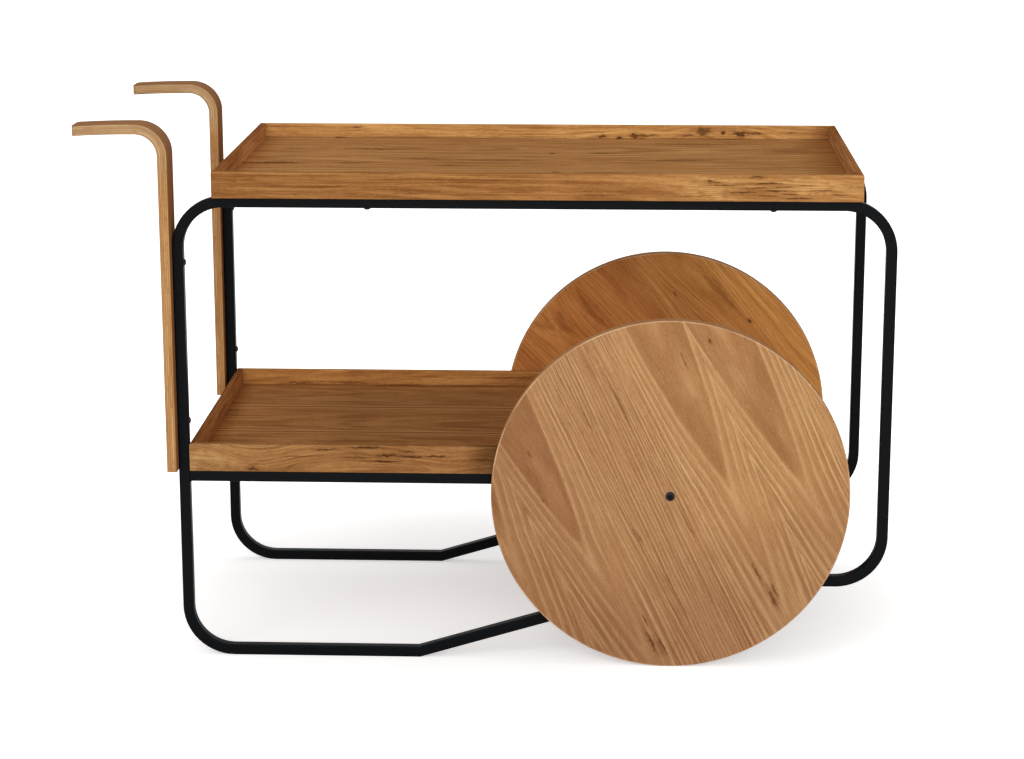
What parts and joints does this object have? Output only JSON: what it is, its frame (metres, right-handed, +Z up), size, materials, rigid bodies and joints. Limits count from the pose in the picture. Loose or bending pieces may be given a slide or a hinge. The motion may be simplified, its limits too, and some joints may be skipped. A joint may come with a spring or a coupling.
{
  "type": "bar cart",
  "caption": "Two-tier wooden bar cart: railed trays on a bent square-tube frame, large solid disc wheels at one end and bent laminated push handles at the other.",
  "frame": {"origin": "on the floor, under the middle of the cart's whole length and width", "axes": "+X along the cart from the handles to the wheel end, +Z up, -Y the side towards the viewer"},
  "size_m": [1.183, 0.552, 0.802],
  "materials": {
    "frame_paint": "satin black powder coat with a fine orange peel",
    "rail_wood": "oiled honey-brown wood, grain along each rail, knots and dark streaks",
    "board_wood": "oiled honey-brown boards, grain along the cart",
    "wheel_wood": "oiled light brown veneer with cathedral grain, plies at the rim",
    "handle_wood": "clear-lacquered laminated wood, laminations along the strip",
    "black_fastener": "black oxide, semi-gloss",
    "plain_steel": "turned, bright",
    "brass": "turned",
    "bush_plastic": "moulded, brown",
    "black_plastic": "moulded, black"
  },
  "bodies": {
    "cart": {"hoop_front": "frame_paint", "hoop_rear": "frame_paint", "ramp_tube_front": "frame_paint", "ramp_tube_rear": "frame_paint", "shelf_bar_front": "frame_paint", "shelf_bar_rear": "frame_paint", "post_front": "frame_paint", "post_rear": "frame_paint", "top_cross_tube_1": "frame_paint", "top_cross_tube_2": "frame_paint", "shelf_cross_tube_1": "frame_paint", "shelf_cross_tube_2": "frame_paint", "axle_tube": "frame_paint", "axle_plugs": "plain_steel", "shelf_bar_caps": "black_plastic", "hub_sleeves": "plain_steel", "hub_washers": "bush_plastic", "hub_bolt_front": "black_fastener", "hub_bolt_rear": "black_fastener", "top_rail_front": "rail_wood", "top_rail_rear": "rail_wood", "top_rail_handle_end": "rail_wood", "top_rail_wheel_end": "rail_wood", "top_board_front": "board_wood", "top_board_middle": "board_wood", "top_board_rear": "board_wood", "lower_rail_front": "rail_wood", "lower_rail_rear": "rail_wood", "lower_rail_handle_end": "rail_wood", "lower_rail_wheel_end": "rail_wood", "lower_board_front": "board_wood", "lower_board_middle": "board_wood", "lower_board_rear": "board_wood", "handle_front": "handle_wood", "handle_rear": "handle_wood", "handle_screws": "black_fastener", "handle_inserts": "brass", "top_tray_screws": "black_fastener", "top_tray_inserts": "brass", "lower_tray_screws": "black_fastener", "lower_tray_inserts": "brass"},
    "front_wheel": {"wheel_front": "wheel_wood", "bush_front": "bush_plastic"},
    "rear_wheel": {"wheel_rear": "wheel_wood", "bush_rear": "bush_plastic"}
  },
  "joints": [
    {"name": "front_wheel_spin", "type": "hinge", "parent": "cart", "child": "front_wheel", "pos_m": [0.2705, -0.263, 0.262], "axis": [0, 1, 0], "continuous": true},
    {"name": "rear_wheel_spin", "type": "hinge", "parent": "cart", "child": "rear_wheel", "pos_m": [0.2705, 0.263, 0.262], "axis": [0, 1, 0], "continuous": true}
  ]
}
